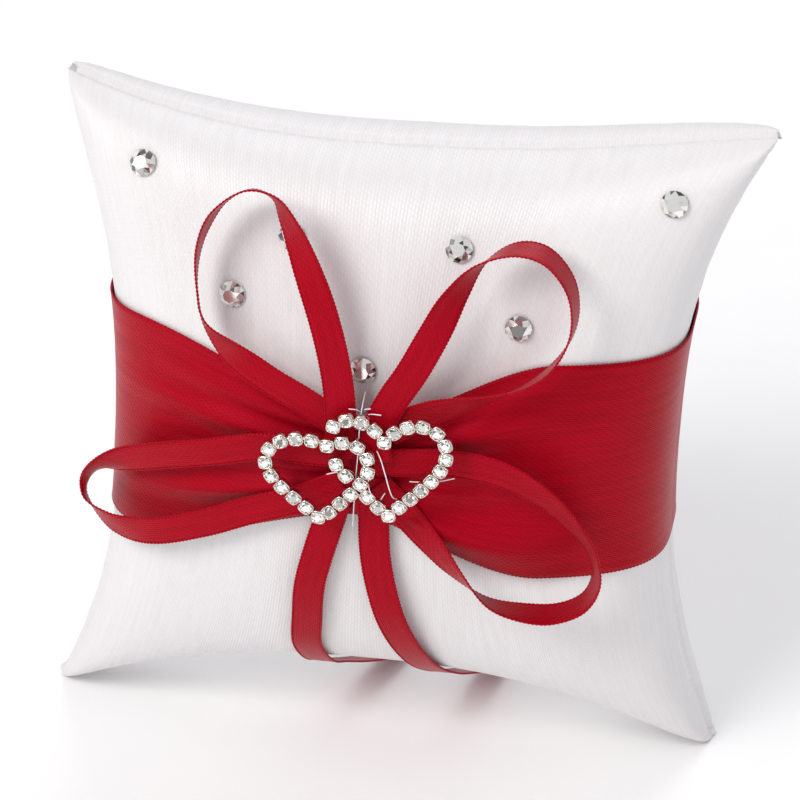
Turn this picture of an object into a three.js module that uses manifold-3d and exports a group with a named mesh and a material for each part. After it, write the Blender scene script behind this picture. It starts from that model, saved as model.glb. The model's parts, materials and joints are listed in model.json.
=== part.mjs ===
// Ring bearer pillow: a small stuffed satin cushion that stands on its two lower corners.
// A wide satin band runs round its middle, gathered at the front, and a bow of narrow
// ribbon and a linked double heart set with stones are sewn over the gather.
// Millimetres, +Z up, the front faces -Y and +X is to the viewer's right. The origin is on
// the surface that the pillow stands on, under the middle of the whole. Sizes across and
// back are first worked out from the middle of the cover's seam plane.
import * as THREE from 'three';
import { mergeVertices } from 'three/addons/utils/BufferGeometryUtils.js';
import Module from 'manifold-3d';

const wasm = await Module();
wasm.setup();

// ---- cover and filling ----
const PILLOW_WIDTH = 150; // corner to corner, before the ears lean
const PILLOW_HEIGHT = 146;
const PILLOW_HALF_THICKNESS = 28.6; // at the crown of each face
const EDGE_FULLNESS = 0.58; // 1 is a thin lens, smaller is fuller up to the seam
const EDGE_CURVE = 2.5; // power of the curve in which a side draws in between its corners
const SIDE_DRAW = { left: 16.5, right: 18, top: 13, bottom: 22.5 };
// how far each corner leans from the plain rectangle, across, back and up
const EAR_LEAN = {
  top_left: [4.5, 5, -1],
  top_right: [3.5, -12, 3.5],
  bottom_left: [-3, 0, -5],
  bottom_right: [-4, 0, -5],
};
// How blunt each ear is: the share of its reach that its rounded tip gives up.
const EAR_ROUND = { top_left: 0.02, top_right: 0.02, bottom_left: 0.03, bottom_right: 0.03 };
const SATIN = 0.5; // cover cloth with its turned seam
const SEAM_GAP = 0.3; // between the two panels along the seam
const LINING_GAP = 0.3; // between the cover and the filling
const SEAM_HALF_THICKNESS = 0.1;
const GRID = 16; // stations across each face
const COVER_MIDDLE = [-1.3, 3.3]; // across and back, from the origin

// sizes that the stations of ribbon and thread and the hearts are drawn for, and follow
const DRAWN = { width: 150, height: 146, halfThickness: 28.6, ribbon: 6, stone: 2.4 };
const EAR_ROUND_POWER = 6; // how near its tip an ear starts to round

// ---- wide band ----
const BAND_WIDTH = 49;
const BAND_GATHERED_WIDTH = 22;
const BAND_THICKNESS = 0.5;
const BAND_CLEARANCE = 0.5; // cover to band
const BAND_RAISED = 2.5; // above half the pillow's height
const BAND_MIDDLE = PILLOW_HEIGHT / 2 + BAND_RAISED;
const GATHER_CENTRE = -2.5; // across, from the middle of the cover
const GATHER_REACH = { left: 48, right: 36 }; // where the folds have opened out
const BAND_LAP_GAP = 0.3;

// ---- narrow ribbon ----
const RIBBON_WIDTH = 6;
const RIBBON_THICKNESS = 0.4;

// ---- linked hearts ----
const STONE_DIAMETER = 2.4;
const PITCH_PER_STONE = 1.3125;
const STONE_PITCH = PITCH_PER_STONE * STONE_DIAMETER;
const SEAT_CLEARANCE = 0.15;
const CUP_WALL = 0.15;
const CUP_HEIGHT = 1.8;
const CUP_FLOOR = 0.5;
const LINK_WIDTH = 1.2;
const LINK_HEIGHT = 0.8;
const ORNAMENT_STAND_OFF = 6.4; // crown of the cover to the frame's back
// cleft, widest points and tip of each heart, across and up from the gather, and the height
// that its lobes are pulled to; the hearts grow with their stones
const LEFT_HEART = { cleft: [-5.5, 8.5], left: [-18, 3.5], right: [2.8, 4.4], tip: [-6.8, -8.7], crest: 10.2 };
const RIGHT_HEART = { cleft: [6, 10.5], left: [-5.4, 9], right: [18.4, 9], tip: [6.5, -6.6], crest: 16.4 };

// ---- flat-backed stones on the cover ----
const FLAT_STONE_DIAMETER = 5.4;
const FLAT_STONE_HEIGHT = 2.2;
const GLUE_GAP = 0.3;
// shares of the way from the middle to the sides, across and up
const FLAT_STONE_PLACES = [
  [-0.54, 0.7],
  [-0.34, 0.4],
  [-0.04, 0.26],
  [0.12, 0.59],
  [0.28, 0.37],
  [0.56, 0.68],
  [-0.2, 0.59],
];

// ---- sewing threads ----
const THREAD_DIAMETER = 0.5;
const CLOSING_LENGTH = 56;
const CLOSING_STITCHES = 9;

const CUT_TOLERANCE = 0.02;

// ---- materials ----
const whiteSatin = () => new THREE.MeshStandardMaterial({ color: 0xe9e6ee, roughness: 0.45, metalness: 0 });
const fibre = () => new THREE.MeshStandardMaterial({ color: 0xf5f3ef, roughness: 0.95, metalness: 0 });
const redSatin = () => new THREE.MeshStandardMaterial({ color: 0xa80420, roughness: 0.38, metalness: 0 });
const silver = () => new THREE.MeshStandardMaterial({ color: 0xd8d4cc, roughness: 0.18, metalness: 1 });
const stoneGlass = () => new THREE.MeshStandardMaterial({ color: 0xeef0ee, roughness: 0.04, metalness: 0 });
const nylon = () => new THREE.MeshStandardMaterial({ color: 0xe6dfe6, roughness: 0.3, metalness: 0 });

const pillow = new THREE.Group();
pillow.position.set(COVER_MIDDLE[0], COVER_MIDDLE[1], 0);

function addPiece(name, geometry, material) {
  const mesh = new THREE.Mesh(geometry, material);
  mesh.name = name;
  pillow.add(mesh);
  return mesh;
}

// ---- joining and cutting ----

function solidOf(geometry) {
  const bare = geometry.clone();
  bare.deleteAttribute('normal');
  bare.deleteAttribute('uv');
  const merged = mergeVertices(bare, 1e-5);
  const vertProperties = new Float32Array(merged.attributes.position.array);
  const triVerts = new Uint32Array(merged.index.array);
  return new wasm.Manifold(new wasm.Mesh({ numProp: 3, vertProperties, triVerts }));
}

// A cut leaves slivers along its edge, which are closed up to within CUT_TOLERANCE.
function geometryOf(solid) {
  const mesh = solid.simplify(CUT_TOLERANCE).getMesh();
  const geometry = new THREE.BufferGeometry();
  geometry.setAttribute('position', new THREE.BufferAttribute(mesh.vertProperties, 3));
  geometry.setIndex(new THREE.BufferAttribute(mesh.triVerts, 1));
  geometry.computeVertexNormals();
  return geometry;
}

// A box of grid squares bent into a shape: place(x, y, z) gives the new point for each
// corner of the grid, with x, y and z from -1 to 1.
function bentBox(columns, rows, place) {
  const geometry = new THREE.BoxGeometry(2, 2, 2, columns, rows, 1);
  const points = geometry.attributes.position;
  for (let i = 0; i < points.count; i += 1) {
    const point = place(points.getX(i), points.getY(i), points.getZ(i));
    points.setXYZ(i, point.x, point.y, point.z);
  }
  geometry.computeVertexNormals();
  return geometry;
}

// ---- the form of the stuffed cover ----

const CORNERS = Object.fromEntries(
  Object.entries(EAR_LEAN).map(([name, lean]) => {
    const across = name.endsWith('left') ? -PILLOW_WIDTH / 2 : PILLOW_WIDTH / 2;
    const up = name.startsWith('top') ? PILLOW_HEIGHT : 0;
    return [name, new THREE.Vector3(across + lean[0], lean[1], up + lean[2])];
  }),
);

// Point of the plane of the seam: u and v run from -1 to 1, left to right and bottom to top.
// The four sides draw in between the corners, and the ears lean out of the plane.
function seamPlane(along, upward) {
  const ear = `${upward > 0 ? 'top' : 'bottom'}_${along > 0 ? 'right' : 'left'}`;
  const reach = 1 - EAR_ROUND[ear] * Math.min(Math.abs(along * upward), 1) ** EAR_ROUND_POWER;
  const u = along * reach;
  const v = upward * reach;
  const point = new THREE.Vector3();
  point.addScaledVector(CORNERS.top_left, ((1 - u) * (1 + v)) / 4);
  point.addScaledVector(CORNERS.top_right, ((1 + u) * (1 + v)) / 4);
  point.addScaledVector(CORNERS.bottom_left, ((1 - u) * (1 - v)) / 4);
  point.addScaledVector(CORNERS.bottom_right, ((1 + u) * (1 - v)) / 4);
  const alongSide = 1 - Math.abs(v) ** EDGE_CURVE;
  const alongEnd = 1 - Math.abs(u) ** EDGE_CURVE;
  const fade = (share) => ((1 + share) / 2) ** 2;
  point.x += alongSide * (SIDE_DRAW.left * fade(-u) - SIDE_DRAW.right * fade(u));
  point.z += alongEnd * (SIDE_DRAW.bottom * fade(-v) - SIDE_DRAW.top * fade(v));
  point.y = CORNERS[ear].y * (u * v) ** 4;
  return point;
}

const shareOf = (s) => THREE.MathUtils.clamp(Math.sin((Math.PI * s) / 2), -0.99995, 0.99995);

// Half thickness of the cover at u and v, nothing along the seam and full at the crown.
function halfThickness(u, v) {
  return PILLOW_HALF_THICKNESS * ((1 - u * u) * (1 - v * v)) ** (EDGE_FULLNESS / 2);
}

// Outward normal of the cover: the gradient of (|y| / T) ** (2 / fullness) - (1 - u*u)(1 - v*v).
function coverNormal(u, v, side) {
  const step = 1e-4;
  const alongU = seamPlane(u + step, v).sub(seamPlane(u - step, v)).divideScalar(2 * step);
  const alongV = seamPlane(u, v + step).sub(seamPlane(u, v - step)).divideScalar(2 * step);
  const power = 2 / EDGE_FULLNESS;
  const share = halfThickness(u, v) / PILLOW_HALF_THICKNESS;
  const byY = (side * power * share ** (power - 1)) / PILLOW_HALF_THICKNESS;
  const byU = 2 * u * (1 - v * v) - byY * alongU.y;
  const byV = 2 * v * (1 - u * u) - byY * alongV.y;
  const area = alongU.x * alongV.z - alongU.z * alongV.x;
  const byX = (byU * alongV.z - byV * alongU.z) / area;
  const byZ = (alongU.x * byV - alongV.x * byU) / area;
  return new THREE.Vector3(byX, byY, byZ).normalize();
}

// Point at a distance outside the cover. s and t run from -1 to 1, side is -1 at the front.
function coverPoint(s, t, side, distance) {
  const u = shareOf(s);
  const v = shareOf(t);
  const point = seamPlane(u, v);
  point.y += side * (halfThickness(u, v) + SEAM_HALF_THICKNESS);
  return point.addScaledVector(coverNormal(u, v, side), distance);
}

// Even steps crowd towards the seam, where the cover turns most.
function crowded(step) {
  return Math.sign(step) * (1 - (1 - Math.abs(step)) ** (1 / EDGE_FULLNESS));
}

// The whole stuffed form, grown or shrunk by a distance and pressed flat at a level.
function stuffedForm(distance, level) {
  const form = bentBox(GRID, GRID, (x, y, z) =>
    coverPoint(crowded(x), crowded(y), z > 0 ? -1 : 1, distance),
  );
  const above = new THREE.BoxGeometry(600, 600, 600).translate(0, 0, 300 + level);
  return solidOf(form).intersect(solidOf(above));
}

// Everything in front of the seam, from a distance behind the plane of the seam.
function inFrontOfSeam(behind) {
  const reach = 1.12; // past the seam
  const cutter = bentBox(GRID, GRID, (x, y, z) => {
    const point = seamPlane(x * reach, y * reach);
    point.y = z > 0 ? -4 * PILLOW_HALF_THICKNESS : point.y + behind;
    return point;
  });
  return solidOf(cutter);
}

const cover = stuffedForm(0, 0).subtract(stuffedForm(-SATIN, SATIN));
const frontPanel = cover.intersect(inFrontOfSeam(-SEAM_GAP / 2));
const backPanel = cover.subtract(inFrontOfSeam(SEAM_GAP / 2));
addPiece('front_panel', geometryOf(frontPanel), whiteSatin());
addPiece('back_panel', geometryOf(backPanel), whiteSatin());
const liner = SATIN + LINING_GAP;
addPiece('filling', geometryOf(stuffedForm(-liner, liner)), fibre());

// ---- wide band round the middle ----

// The share t at which the cover's seam plane stands at a height, for a share s across.
function rowAtHeight(s, height) {
  let low = -1;
  let high = 1;
  for (let i = 0; i < 40; i += 1) {
    const middle = (low + high) / 2;
    if (seamPlane(shareOf(s), shareOf(middle)).z < height) {
      low = middle;
    } else {
      high = middle;
    }
  }
  return (low + high) / 2;
}

// Width of the band at the front: gathered at the centre, full once the folds have opened.
function frontBandWidth(across) {
  const offset = across - GATHER_CENTRE;
  const reach = offset < 0 ? GATHER_REACH.left : GATHER_REACH.right;
  const opened = THREE.MathUtils.smoothstep(Math.abs(offset), 0, reach);
  return BAND_GATHERED_WIDTH + (BAND_WIDTH - BAND_GATHERED_WIDTH) * opened;
}

// One ribbon from the back, round the left side, across the front, round the right side and
// over its own beginning. Stations count the cover's grid lines.
const half = GRID / 2;
const LAP_STATIONS = 1;
const bandSteps = 2 * (half + LAP_STATIONS) + GRID;

function bandPoint(x, y, z) {
  const station = Math.round(((x + 1) / 2) * bandSteps);
  const fromLeft = station - half - LAP_STATIONS;
  const front = fromLeft >= 0 && fromLeft <= GRID;
  let step = fromLeft / half - 1;
  if (fromLeft < 0) {
    step = -fromLeft / half - 1;
  }
  if (fromLeft > GRID) {
    step = 3 - fromLeft / half;
  }
  const s = crowded(step);
  const across = seamPlane(shareOf(s), 0).x;
  const width = front ? frontBandWidth(across) : BAND_WIDTH;
  const t = rowAtHeight(s, BAND_MIDDLE + (y * width) / 2);
  const lapped = station > bandSteps - 2 * LAP_STATIONS - 2;
  const lift = lapped ? BAND_THICKNESS + BAND_LAP_GAP : 0;
  const distance = BAND_CLEARANCE + lift + (z > 0 ? BAND_THICKNESS : 0);
  return coverPoint(s, t, front ? -1 : 1, distance);
}

addPiece('wide_band', bentBox(bandSteps, 4, bandPoint), redSatin());

// ---- bow of narrow ribbon ----

// A ribbon turns over along its loop. Each turning place is a share of its length and a turn
// in degrees: 0 lays the ribbon flat to the front, 90 stands it on edge, and between two
// places it eases over. A tail has none and hangs with its width kept across the pillow.
const LOOP_TURNS = {
  bow_loop_upper_left: [[0.25, 0], [0.55, -75], [0.7, -105], [0.85, -180]],
  bow_loop_upper_right: [[0.2, 0], [0.5, 95], [0.7, 95], [1, 180]],
  bow_loop_left: [[0.35, 0], [0.65, -180]],
  bow_loop_lower_right: [[0.15, 0], [0.6, 80], [0.95, 180]],
};

// Stations of ribbon and thread: across, out from the crown of the cover, and up. They
// follow the cover's size, but in front of its crown keep the thickness of the layers.
function stationPoint([across, out, up]) {
  const depth = out < 0 ? PILLOW_HALF_THICKNESS / DRAWN.halfThickness : 1;
  return new THREE.Vector3(
    (across * PILLOW_WIDTH) / DRAWN.width,
    -PILLOW_HALF_THICKNESS - out * depth,
    (up * PILLOW_HEIGHT) / DRAWN.height,
  );
}

class RibbonRoute extends THREE.CatmullRomCurve3 {
  constructor(stations, turns = []) {
    const points = stations.map(stationPoint);
    super(points, false, 'centripetal');
    this.turns = turns;
  }

  // Direction of the ribbon's width before it is turned.
  flatWidth(tangent) {
    if (this.turns.length === 0) {
      return new THREE.Vector3(1, 0, 0).projectOnPlane(tangent).normalize();
    }
    return new THREE.Vector3().crossVectors(tangent, new THREE.Vector3(0, -1, 0)).normalize();
  }

  turnAt(share) {
    let degrees = 0;
    for (let i = 1; i < this.turns.length; i += 1) {
      const [from, before] = this.turns[i - 1];
      const [to, after] = this.turns[i];
      degrees += (after - before) * THREE.MathUtils.smoothstep(share, from, to);
    }
    return THREE.MathUtils.degToRad(degrees);
  }

  computeFrenetFrames(segments) {
    const frames = { tangents: [], normals: [], binormals: [] };
    for (let i = 0; i <= segments; i += 1) {
      const tangent = this.getTangentAt(i / segments);
      const width = this.flatWidth(tangent).applyAxisAngle(tangent, this.turnAt(i / segments));
      frames.tangents.push(tangent);
      frames.normals.push(width);
      frames.binormals.push(new THREE.Vector3().crossVectors(tangent, width));
    }
    return frames;
  }
}

// Loops and tails of a wider ribbon stand further apart, each to its own side.
function spreadApart(name, stations) {
  const side = name.includes('left') ? -1 : 1;
  const more = (side * (RIBBON_WIDTH - DRAWN.ribbon)) / 2;
  return stations.map(([across, out, up]) => [across + more, out, up]);
}

function ribbonGeometry(stations, turns) {
  const route = new RibbonRoute(stations, turns);
  const section = new THREE.Shape();
  section.moveTo(-RIBBON_WIDTH / 2, -RIBBON_THICKNESS / 2);
  section.lineTo(RIBBON_WIDTH / 2, -RIBBON_THICKNESS / 2);
  section.lineTo(RIBBON_WIDTH / 2, RIBBON_THICKNESS / 2);
  section.lineTo(-RIBBON_WIDTH / 2, RIBBON_THICKNESS / 2);
  section.closePath();
  const steps = Math.ceil(route.getLength() / (RIBBON_WIDTH * 0.55));
  return new THREE.ExtrudeGeometry(section, { steps, extrudePath: route, bevelEnabled: false });
}

// Each station: across, out from the crown of the cover, and up. A tail ends on the
// surface that the pillow stands on. The layers at the knot
// lie one on the other: tails, lower strands, upper strands, outer legs, inner legs.
const RIBBON_ROUTES = {
  bow_loop_upper_left: [
    [-5.6, 4.9, 80],
    [-5.7, 4.9, 88],
    [-6.4, 4.9, 98],
    [-8.8, 4.6, 110],
    [-12.3, 3.4, 120.5],
    [-16.1, 1, 128.5],
    [-19.8, -1.2, 133.2],
    [-25, -2.4, 133.9],
    [-30.9, -1.8, 130],
    [-34.4, -0.4, 122.6],
    [-35, 1, 114.2],
    [-33.6, 1.8, 106.6],
    [-28.4, 2.4, 100.6],
    [-21, 3.2, 95.6],
    [-13, 3.9, 91.4],
    [-6.6, 4.1, 87.2],
  ],
  bow_loop_upper_right: [
    [1.2, 4.9, 80],
    [1.6, 4.9, 87],
    [4.6, 5, 94],
    [8.6, 5.2, 101],
    [13, 5, 110],
    [16.9, 3.8, 118.2],
    [21.6, 2, 124.6],
    [28.4, 0.8, 127.8],
    [34, 0.8, 126.8],
    [38.9, 1.8, 121.2],
    [39.9, 2.6, 113.4],
    [37.4, 3.2, 106.2],
    [32.4, 3.6, 100.6],
    [25, 3.9, 96.4],
    [13, 4.1, 92],
    [3.4, 4.1, 86.6],
  ],
  bow_loop_left: [
    [-4.2, 3.3, 80],
    [-12, 3.3, 79.8],
    [-22, 2.9, 79.5],
    [-34, 1.6, 76.2],
    [-46, -1.4, 72.2],
    [-55, -5, 67.8],
    [-61, -8.2, 62],
    [-61.8, -8.6, 56.4],
    [-56.4, -5.8, 53],
    [-47, -1.4, 54.4],
    [-35.6, 0.9, 58.8],
    [-25, 1.9, 63.8],
    [-14.6, 2.5, 68],
    [-6, 2.5, 72.6],
  ],
  bow_loop_lower_right: [
    [0.6, 3.3, 78.4],
    [8, 3.3, 79.4],
    [16, 3.3, 80],
    [26, 3.3, 78.6],
    [34.4, 2.8, 73.8],
    [40.2, 2, 67.6],
    [44.2, 1.2, 61],
    [45.3, 1.2, 54.6],
    [43, 1.6, 49.4],
    [37.3, 2.2, 46.4],
    [30.4, 3.2, 46.6],
    [23.8, 3.8, 48.6],
    [17, 3.4, 54.6],
    [11.6, 2.8, 61],
    [6.4, 2.5, 67.2],
    [1.2, 2.5, 73],
  ],
  bow_tail_left: [
    [-6.4, 1.7, 74],
    [-8.4, 1.7, 65],
    [-11, 1.4, 56],
    [-13.4, 0.2, 46.4],
    [-14.6, -2.4, 36.4],
    [-15.4, -6.2, 27.4],
    [-14.2, -12.6, 19.6],
    [-13, -21, 14],
    [-9.6, -30, 8.6],
    [-6, -40, 3.6],
    [-2.4, -50, 0.9],
    [0.6, -58, 0.6],
  ],
  bow_tail_right: [
    [0.6, 1.7, 74],
    [0.2, 1.7, 65],
    [0.4, 1.5, 56],
    [1.4, 0.8, 48],
    [3.2, -0.8, 39],
    [5.8, -4.2, 30.4],
    [8.6, -9.4, 23],
    [11.2, -17, 16.6],
    [13.6, -26, 11],
    [16, -36, 5.4],
    [18.4, -46, 1.4],
    [20.6, -55, 0.6],
  ],
};
for (const [name, stations] of Object.entries(RIBBON_ROUTES)) {
  addPiece(name, ribbonGeometry(spreadApart(name, stations), LOOP_TURNS[name]), redSatin());
}

// ---- sewing threads ----

function threadGeometry(points, steps) {
  const route = new THREE.CatmullRomCurve3(points, false, 'centripetal');
  const section = new THREE.Shape();
  section.absarc(0, 0, THREAD_DIAMETER / 2, 0, 2 * Math.PI);
  return new THREE.ExtrudeGeometry(section, { steps, curveSegments: 3, extrudePath: route, bevelEnabled: false });
}

// The gathering thread comes up between the upper legs, crosses the bow and goes down
// between the tails.
const bowFront = -PILLOW_HALF_THICKNESS - ORNAMENT_STAND_OFF;
const threadOverBow = ORNAMENT_STAND_OFF - LINING_GAP - THREAD_DIAMETER / 2;
const gatheringPoints = [
  [-1.4, 1.4, 93.6],
  [-1.5, 4.2, 91.8],
  [-1.7, threadOverBow, 88.6],
  [-2.1, threadOverBow, 82],
  [-2.6, threadOverBow, 76],
  [-3.1, threadOverBow, 68],
  [-3.6, 4.2, 64],
  [-4, 1.4, 61.6],
].map(stationPoint);
addPiece('gathering_thread', threadGeometry(gatheringPoints, 16), nylon());

// The closing thread runs from side to side under the middle of the bottom seam.
const closingPoints = [];
for (let i = 0; i <= CLOSING_STITCHES; i += 1) {
  const across = (i / CLOSING_STITCHES - 0.5) * (CLOSING_LENGTH / (PILLOW_WIDTH / 2));
  const point = seamPlane(across, -0.99995);
  point.z -= LINING_GAP + THREAD_DIAMETER;
  point.y += (i % 2 ? 1 : -1) * THREAD_DIAMETER;
  closingPoints.push(point);
}
addPiece('closing_thread', threadGeometry(closingPoints, 2 * CLOSING_STITCHES), nylon());

// ---- linked hearts ----

const curveFrom = (start, startPull, endPull, end) =>
  new THREE.CubicBezierCurve(
    new THREE.Vector2(...start),
    new THREE.Vector2(...startPull),
    new THREE.Vector2(...endPull),
    new THREE.Vector2(...end),
  );

// One side of a heart: a round lobe from the cleft to the widest point, then an easy
// curve down to the tip.
function heartSide({ cleft, tip, crest }, widest) {
  const reach = widest[0] - cleft[0];
  const drop = widest[1] - tip[1];
  return [
    curveFrom(cleft, [cleft[0] + 0.28 * reach, crest], [widest[0], crest], widest),
    curveFrom(widest, [widest[0], widest[1] - 0.32 * drop], [tip[0] + 0.36 * reach, tip[1] + 0.3 * drop], tip),
  ];
}

function heartOutline(heart) {
  const outline = new THREE.CurvePath();
  const rightSide = heartSide(heart, heart.right);
  const back = [...rightSide].reverse().map((c) => new THREE.CubicBezierCurve(c.v3, c.v2, c.v1, c.v0));
  outline.curves.push(...heartSide(heart, heart.left), ...back);
  return outline;
}

function evenPoints(outline) {
  const count = Math.round((outline.getLength() * heartScale) / STONE_PITCH);
  const points = outline.getSpacedPoints(count).slice(0, count);
  return points.map((point) => point.multiplyScalar(heartScale));
}

const heartScale = STONE_DIAMETER / DRAWN.stone;
const leftPoints = evenPoints(heartOutline(LEFT_HEART));
const rightPoints = evenPoints(heartOutline(RIGHT_HEART));
const cupWidth = STONE_DIAMETER + 2 * (SEAT_CLEARANCE + CUP_WALL);
// where the hearts cross, the right one leaves out the cups that would fall on the left one
const isClear = (point) => leftPoints.every((other) => other.distanceTo(point) > 0.92 * cupWidth);
const clearRightPoints = rightPoints.filter(isClear);

function placeOnOrnament(geometry, point, turn) {
  geometry.rotateZ(turn);
  geometry.rotateX(Math.PI / 2);
  return geometry.translate(GATHER_CENTRE + point.x, bowFront, BAND_MIDDLE + point.y);
}

// Solids on the ornament are first drawn flat, x and y in its plane and z out of it.
function cupSolid(point, turn) {
  const cup = new THREE.BoxGeometry(cupWidth, cupWidth, CUP_HEIGHT).translate(0, 0, CUP_HEIGHT / 2);
  return solidOf(placeOnOrnament(cup, point, turn));
}

function seatSolid(point, turn) {
  const depth = CUP_HEIGHT - CUP_FLOOR + 1;
  const radius = STONE_DIAMETER / 2 + SEAT_CLEARANCE;
  const seat = new THREE.CylinderGeometry(radius, radius, depth, 8).rotateX(Math.PI / 2);
  return solidOf(placeOnOrnament(seat.translate(0, 0, CUP_FLOOR + depth / 2), point, turn));
}

function linkSolid(from, to) {
  const middle = from.clone().add(to).multiplyScalar(0.5);
  const length = from.distanceTo(to);
  const link = new THREE.BoxGeometry(length, LINK_WIDTH, LINK_HEIGHT).translate(0, 0, LINK_HEIGHT / 2);
  return solidOf(placeOnOrnament(link, middle, to.clone().sub(from).angle()));
}

// A brilliant: eight-sided, its point down in the cup and its table up.
function heartStoneGeometry() {
  const radius = STONE_DIAMETER / 2;
  const profile = [
    new THREE.Vector2(0, CUP_FLOOR + 0.2),
    new THREE.Vector2(radius, CUP_HEIGHT - 0.2),
    new THREE.Vector2(0.6 * radius, CUP_HEIGHT + 0.3),
    new THREE.Vector2(0, CUP_HEIGHT + 0.3),
  ];
  return new THREE.LatheGeometry(profile, 8).rotateX(Math.PI / 2);
}

const turnAlong = (points, i) => {
  const next = points[(i + 1) % points.length];
  const before = points[(i + points.length - 1) % points.length];
  return next.clone().sub(before).angle();
};

const cups = [];
const seats = [];
const stones = [];
for (const [side, points] of Object.entries({ left: leftPoints, right: rightPoints })) {
  const kept = side === 'left' ? points : clearRightPoints;
  points.forEach((point, i) => {
    cups.push(linkSolid(point, points[(i + 1) % points.length]));
    if (kept.includes(point)) {
      const turn = turnAlong(points, i);
      cups.push(cupSolid(point, turn));
      seats.push(seatSolid(point, turn));
      stones.push([side, placeOnOrnament(heartStoneGeometry(), point, turn)]);
    }
  });
}
const joined = cups.reduce((whole, piece) => whole.add(piece));
const seatsJoined = seats.reduce((whole, piece) => whole.add(piece));
addPiece('double_heart_frame', geometryOf(joined.subtract(seatsJoined)), silver());

const counters = { left: 0, right: 0 };
for (const [side, geometry] of stones) {
  counters[side] += 1;
  const number = String(counters[side]).padStart(2, '0');
  addPiece(`heart_stone_${side}_${number}`, geometry, stoneGlass());
}

// ---- flat-backed stones glued to the front ----

function flatStoneGeometry() {
  const radius = FLAT_STONE_DIAMETER / 2;
  const profile = [
    new THREE.Vector2(0, 0),
    new THREE.Vector2(radius, 0),
    new THREE.Vector2(radius, 0.25 * FLAT_STONE_HEIGHT),
    new THREE.Vector2(0.55 * radius, FLAT_STONE_HEIGHT),
    new THREE.Vector2(0, FLAT_STONE_HEIGHT),
  ];
  return new THREE.LatheGeometry(profile, 10);
}

FLAT_STONE_PLACES.forEach(([s, t], i) => {
  const stone = addPiece(`flat_back_stone_${i + 1}`, flatStoneGeometry(), stoneGlass());
  const normal = coverNormal(shareOf(s), shareOf(t), -1);
  stone.quaternion.setFromUnitVectors(new THREE.Vector3(0, 1, 0), normal);
  stone.position.copy(coverPoint(s, t, -1, GLUE_GAP));
});

export default pillow;
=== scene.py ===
# Ring bearer pillow: a stuffed satin cushion that stands on its two lower corners. A wide red
# band is gathered round it, and a bow of narrow ribbon and two linked stone hearts are sewn
# to its front. It faces -Y.
import json
import math

import bpy
import numpy as np
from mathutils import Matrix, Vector

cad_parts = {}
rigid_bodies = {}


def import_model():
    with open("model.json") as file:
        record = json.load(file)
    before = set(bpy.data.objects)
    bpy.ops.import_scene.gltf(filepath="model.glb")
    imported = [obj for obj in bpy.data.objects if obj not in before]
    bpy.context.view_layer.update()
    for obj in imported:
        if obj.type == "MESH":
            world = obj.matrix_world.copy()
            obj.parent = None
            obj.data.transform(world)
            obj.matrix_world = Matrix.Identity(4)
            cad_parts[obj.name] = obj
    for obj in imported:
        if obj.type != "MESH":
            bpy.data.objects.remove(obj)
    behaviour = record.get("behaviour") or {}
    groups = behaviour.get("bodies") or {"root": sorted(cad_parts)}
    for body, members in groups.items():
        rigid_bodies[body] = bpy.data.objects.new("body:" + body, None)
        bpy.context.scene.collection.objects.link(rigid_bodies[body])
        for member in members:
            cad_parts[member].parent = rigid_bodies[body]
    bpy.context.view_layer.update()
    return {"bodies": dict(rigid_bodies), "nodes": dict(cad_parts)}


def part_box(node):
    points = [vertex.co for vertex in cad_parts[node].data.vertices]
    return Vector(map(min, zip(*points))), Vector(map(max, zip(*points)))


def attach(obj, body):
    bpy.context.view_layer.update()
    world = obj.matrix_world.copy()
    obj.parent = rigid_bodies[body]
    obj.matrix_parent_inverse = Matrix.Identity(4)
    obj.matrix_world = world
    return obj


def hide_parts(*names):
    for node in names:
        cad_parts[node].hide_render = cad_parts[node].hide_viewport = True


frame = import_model()
BODY = list(frame["bodies"])[0]
MM = 0.001


# ---- stuffed cover ----
# Two square panels of white satin, sewn together all round, turned right side out, stuffed
# with polyester fibre and closed by hand under the bottom. The sides draw in between the
# corners, which stay as ears, and the two lower ears are pressed flat where they stand.
COVER_WIDTH = 150 * MM  # corner to corner, before the ears lean
COVER_HEIGHT = 146 * MM
HALF_THICKNESS = 28.6 * MM  # at the crown of each face
EDGE_FULLNESS = 0.58  # 1 is a thin lens, smaller is fuller up to the seam
EDGE_CURVE = 2.5
SIDE_DRAW = {"left": 16.5 * MM, "right": 18 * MM, "top": 13 * MM, "bottom": 22.5 * MM}
EAR_LEAN = {
    "top_left": np.array([4.5, 5, -1]) * MM,
    "top_right": np.array([3.5, -12, 3.5]) * MM,
    "bottom_left": np.array([-3, 0, -5]) * MM,
    "bottom_right": np.array([-4, 0, -5]) * MM,
}
# How blunt each ear is: the share of its reach that its rounded tip gives up.
EAR_ROUND = {"top_left": 0.02, "top_right": 0.02, "bottom_left": 0.03, "bottom_right": 0.03}
EAR_ROUND_POWER = 6  # how near its tip an ear starts to round
COVER_MIDDLE = np.array([-1.3, 3.3, 0]) * MM  # middle of the seam plane, from the origin
CLOTH_ACROSS = 166 * MM  # flat size of a panel between its seams
COVER_GRID = 180  # squares across each panel
SEAM_DEPTH = 0.9 * MM
SEAM_REACH = 1.3 * MM
PUCKER_HEIGHT = 0.22 * MM
PUCKER_REACH = 7 * MM
SOFT_DENT = 0.5 * MM
FOOT_PRESS = 0.8 * MM  # how softly the two lower ears flatten on the table


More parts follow.
